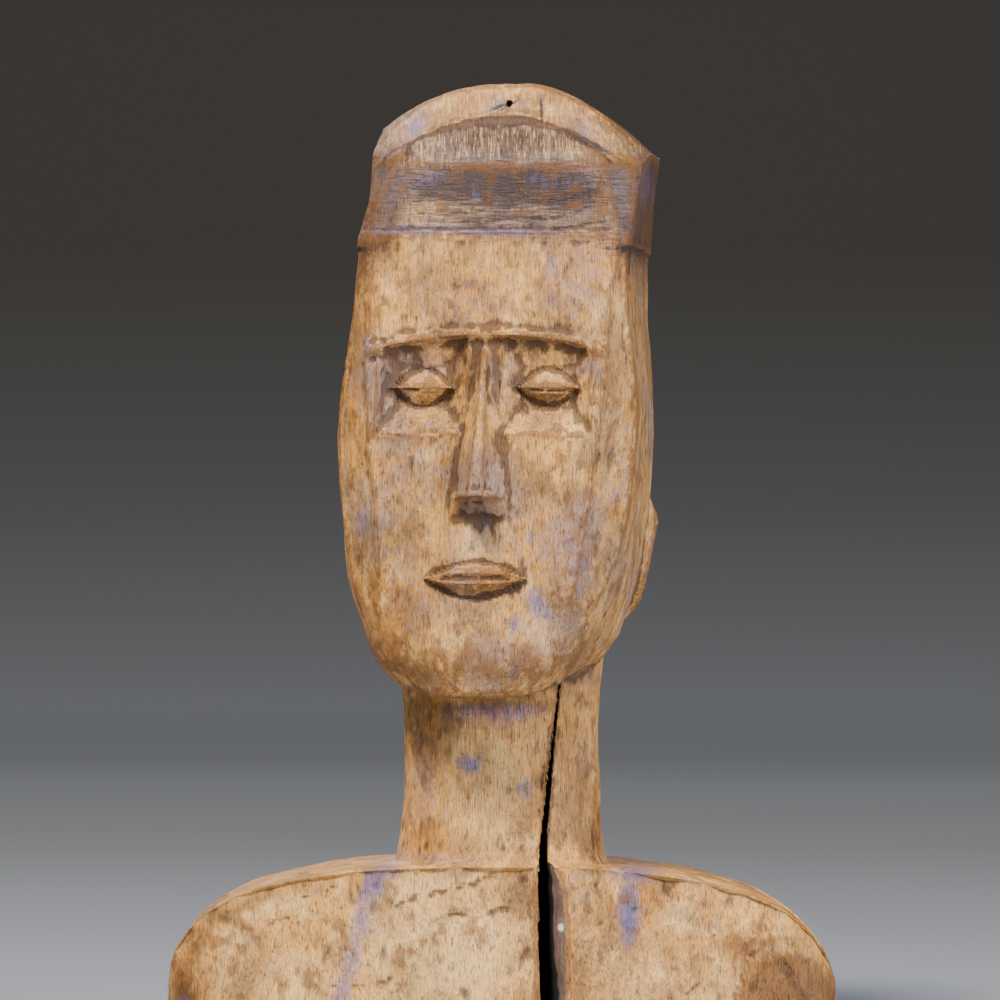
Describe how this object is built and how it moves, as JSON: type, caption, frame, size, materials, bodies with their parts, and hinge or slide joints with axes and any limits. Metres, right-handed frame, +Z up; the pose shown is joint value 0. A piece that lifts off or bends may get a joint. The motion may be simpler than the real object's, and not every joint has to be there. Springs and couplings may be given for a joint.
{
  "type": "carved wooden figure bust",
  "caption": "Weathered carved wooden figure cut as a bust: capped head turned a little aside, long neck and square shoulders with a drying crack, standing on its flat underside.",
  "frame": {"origin": "middle of the flat underside, on the trunk's upright axis", "axes": "+Z up, the figure looks along -Y, +X towards its left shoulder"},
  "size_m": [0.109, 0.066, 0.1578],
  "materials": {
    "aged_wood": "dry carved wood with a worn brown patina, sooty hollows and traces of blue pigment"
  },
  "bodies": {
    "root": {"carved_figure_bust": "aged_wood"}
  },
  "joints": []
}
